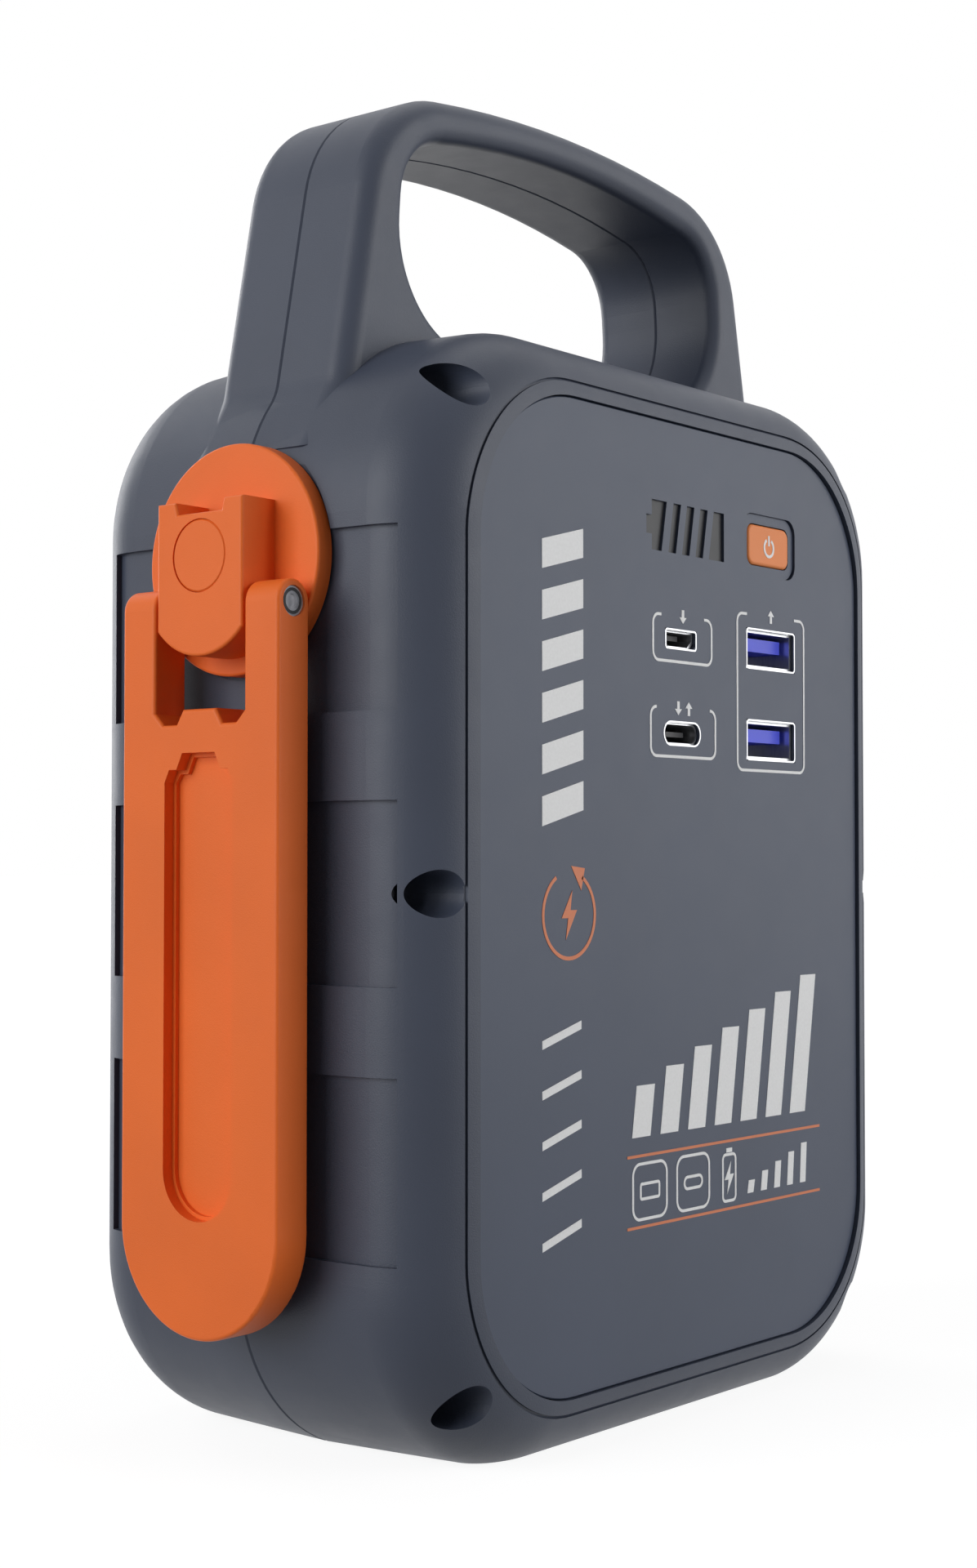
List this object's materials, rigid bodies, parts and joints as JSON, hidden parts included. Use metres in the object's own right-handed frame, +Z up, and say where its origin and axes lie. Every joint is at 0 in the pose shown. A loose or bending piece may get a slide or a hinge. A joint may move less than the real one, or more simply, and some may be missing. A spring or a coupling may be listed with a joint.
{
  "type": "hand crank phone charger",
  "caption": "Upright power bank in a slate case with a loop handle, sockets, a power button, a battery gauge and a folding orange crank on its left side.",
  "frame": {"origin": "middle of the flat standing face, on the seam between the two shells", "axes": "+X to the right along the front panel, +Y from the front panel to the back, +Z up towards the handle; the crank is on the -X side"},
  "size_m": [0.1207, 0.0628, 0.1816],
  "materials": {
    "case_plastic": "fine moulded texture, satin",
    "panel_plastic": "smooth satin",
    "crank_plastic": "fine moulded texture, satin",
    "button_plastic": "smooth satin",
    "black_plastic": "matte",
    "holder_plastic": "matte",
    "blue_plastic": "smooth",
    "port_steel": "plated and formed sheet",
    "window_plastic": "smoked translucent",
    "steel": "zinc plated",
    "brass": "machined",
    "magnet": "ground ferrite",
    "nylon": "natural nylon",
    "board_laminate": "solder mask",
    "cell_wrap": "shrink sleeve over a steel can",
    "nickel": "rolled strip",
    "led_resin": "clear resin over phosphor",
    "clear_lens": "clear moulded lens",
    "reflector_coat": "vacuum metallised",
    "solar_cells": "cells under clear resin"
  },
  "bodies": {
    "root": {"battery_cell_1": "cell_wrap", "battery_cell_2": "cell_wrap", "battery_cell_3": "cell_wrap", "battery_cell_4": "cell_wrap", "battery_holder": "holder_plastic", "battery_tabs": "nickel", "battery_window": "window_plastic", "board_components": "black_plastic", "board_screws": "steel", "case_screws": "steel", "charge_leds": "led_resin", "front_panel": "panel_plastic", "front_shell": "case_plastic", "gear_axle_1": "steel", "gear_axle_2": "steel", "gearbox_pillars": "steel", "gearbox_plate_inner": "steel", "gearbox_plate_outer": "steel", "gearbox_screws": "steel", "generator_can": "steel", "generator_end_cap": "black_plastic", "generator_magnets": "magnet", "generator_terminals": "brass", "hub_bush": "brass", "lamp_board": "board_laminate", "lamp_leds": "led_resin", "lamp_lens": "clear_lens", "lamp_reflector": "reflector_coat", "lamp_screws": "steel", "main_board": "board_laminate", "micro_usb_port": "port_steel", "rear_panel": "panel_plastic", "rear_shell": "case_plastic", "small_port_tongues": "black_plastic", "solar_panel": "solar_cells", "tact_switch": "black_plastic", "usb_a_port_lower": "port_steel", "usb_a_port_upper": "port_steel", "usb_a_tongues": "blue_plastic", "usb_c_port": "port_steel"},
    "crank_hub": {"crank_hub": "crank_plastic", "hub_screw_cap": "crank_plastic", "hub_screw": "steel", "hub_shaft": "steel", "retaining_ring": "steel", "hinge_pin": "steel", "crank_gear": "nylon"},
    "crank_arm": {"crank_arm": "crank_plastic", "knob_rivet": "steel"},
    "crank_knob": {"crank_knob": "crank_plastic"},
    "compound_gear_1": {"compound_gear_1": "nylon"},
    "compound_gear_2": {"compound_gear_2": "nylon"},
    "generator_rotor": {"generator_rotor": "steel", "commutator": "brass", "motor_pinion": "brass"},
    "power_button": {"power_button": "button_plastic", "button_plunger": "black_plastic"}
  },
  "joints": [
    {"name": "crank_spin", "type": "hinge", "parent": "root", "child": "crank_hub", "pos_m": [-0.0582, 0, 0.115], "axis": [1, 0, 0], "continuous": true},
    {"name": "crank_fold", "type": "hinge", "parent": "crank_hub", "child": "crank_arm", "pos_m": [-0.0613, 0, 0.1086], "axis": [0, 1, 0], "range_deg": [0, 180]},
    {"name": "knob_spin", "type": "hinge", "parent": "crank_arm", "child": "crank_knob", "pos_m": [-0.0585, 0, 0.0306], "axis": [1, 0, 0], "continuous": true},
    {"name": "gear_1_spin", "type": "hinge", "parent": "root", "child": "compound_gear_1", "pos_m": [-0.0389, 0, 0.095], "axis": [1, 0, 0], "continuous": true},
    {"name": "gear_2_spin", "type": "hinge", "parent": "root", "child": "compound_gear_2", "pos_m": [-0.03545, 0, 0.07505], "axis": [1, 0, 0], "continuous": true},
    {"name": "rotor_spin", "type": "hinge", "parent": "root", "child": "generator_rotor", "pos_m": [-0.03545, 0, 0.06005], "axis": [1, 0, 0], "continuous": true},
    {"name": "power_button_press", "type": "slide", "parent": "root", "child": "power_button", "axis": [0, 1, 0], "range_m": [0, 0.0006], "stiffness_N_per_m": 600}
  ],
  "couplings": [
    {"joint": "gear_1_spin", "follows": "crank_spin", "ratio": -4},
    {"joint": "gear_2_spin", "follows": "crank_spin", "ratio": 15},
    {"joint": "rotor_spin", "follows": "crank_spin", "ratio": -60}
  ]
}
